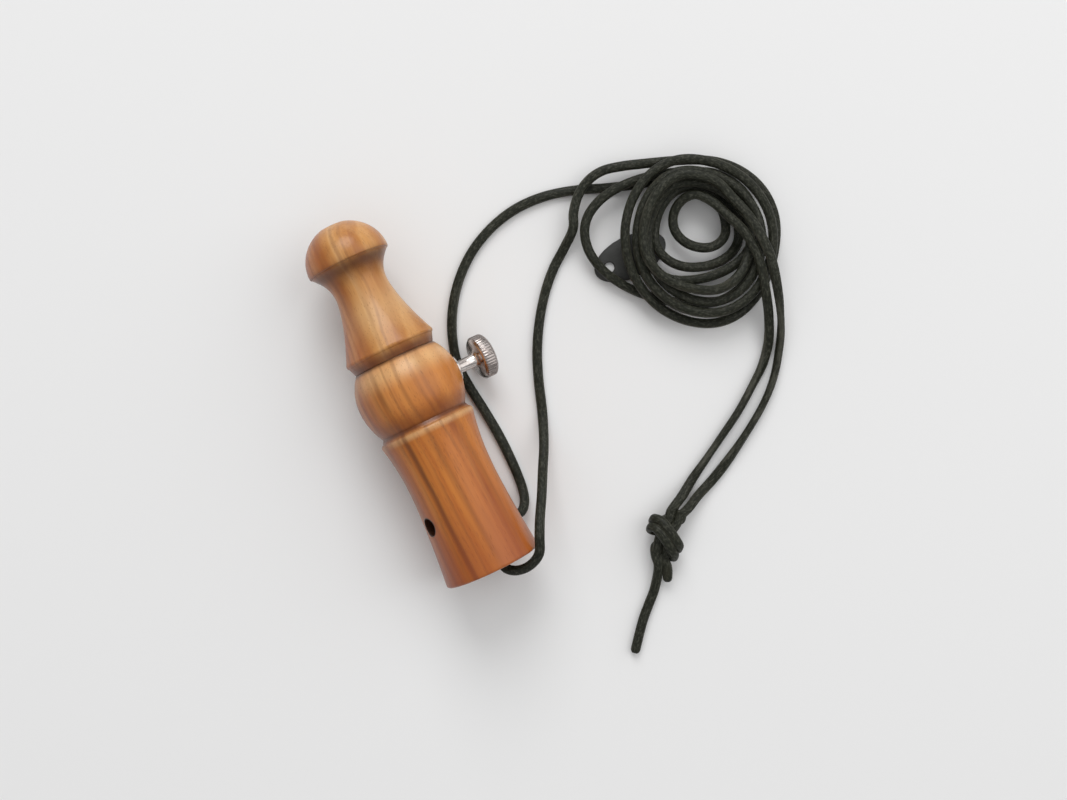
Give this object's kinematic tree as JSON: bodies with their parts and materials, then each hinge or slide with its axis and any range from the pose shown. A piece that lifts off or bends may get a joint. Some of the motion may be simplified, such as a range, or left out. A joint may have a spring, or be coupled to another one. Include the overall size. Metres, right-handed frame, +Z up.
{
  "type": "roe deer call",
  "caption": "Turned wooden deer call with mushroom mouthpiece, ball chamber and flared bell, a tuning thumbscrew that bears on an inner reed, and a coiled leather lanyard.",
  "frame": {"origin": "middle of the call's footprint on the table it lies on, without the lanyard", "axes": "+Y from the bell to the mouthpiece, +X to the side with the thumbscrew, +Z up from the table"},
  "size_m": [0.1256, 0.1393, 0.0288],
  "materials": {
    "body_wood": "satin, turned",
    "mouthpiece_wood": "satin, turned",
    "cork": "natural cork",
    "block_wood": "plain",
    "brass": "drawn",
    "reed_brass": "rolled sheet",
    "wedge_wood": "plain",
    "insert_brass": "turned",
    "nickel": "polished nickel plate",
    "nylon": "plain",
    "leather": "waxed lace",
    "tag": "matte"
  },
  "bodies": {
    "call": {"body": "body_wood", "reed_block": "block_wood", "shallot": "brass", "reed_wedge": "wedge_wood", "screw_insert": "insert_brass", "lanyard_in_bell": "leather", "lanyard_leg_knob": "leather", "lanyard_leg_rim": "leather", "lanyard_coil_a": "leather", "lanyard_coil_b": "leather", "lanyard_strand_a": "leather", "lanyard_strand_b": "leather", "lanyard_knot": "leather", "lanyard_tail_long": "leather", "lanyard_tail_short": "leather", "lanyard_tag": "tag"},
    "mouthpiece": {"mouthpiece": "mouthpiece_wood", "tenon_cork": "cork"},
    "screw_tip": {"screw_tip": "nylon"},
    "thumbscrew": {"thumbscrew": "nickel"},
    "reed": {"reed": "reed_brass"}
  },
  "joints": [
    {"name": "mouthpiece_pull", "type": "slide", "parent": "call", "child": "mouthpiece", "axis": [0, 0.9998, 0.0215], "range_m": [0, 0.012]},
    {"name": "screw_advance", "type": "slide", "parent": "call", "child": "screw_tip", "axis": [0.9376, 0.0075, -0.3476], "range_m": [-0.000466, 0.000466]},
    {"name": "knob_turn", "type": "hinge", "parent": "screw_tip", "child": "thumbscrew", "pos_m": [-0.00532, 0.00222, 0.0144], "axis": [0.9376, 0.0075, -0.3476], "range_deg": [-240, 240]},
    {"name": "reed_flex", "type": "hinge", "parent": "call", "child": "reed", "pos_m": [-0.00405, -0.00937, 0.01368], "axis": [-0.3477, 0.0202, -0.9374], "range_deg": [-2.35, 2.35]}
  ],
  "couplings": [
    {"joint": "knob_turn", "follows": "screw_advance", "rad_per_m": 8976},
    {"joint": "reed_flex", "follows": "screw_advance", "rad_per_m": 86.207}
  ]
}
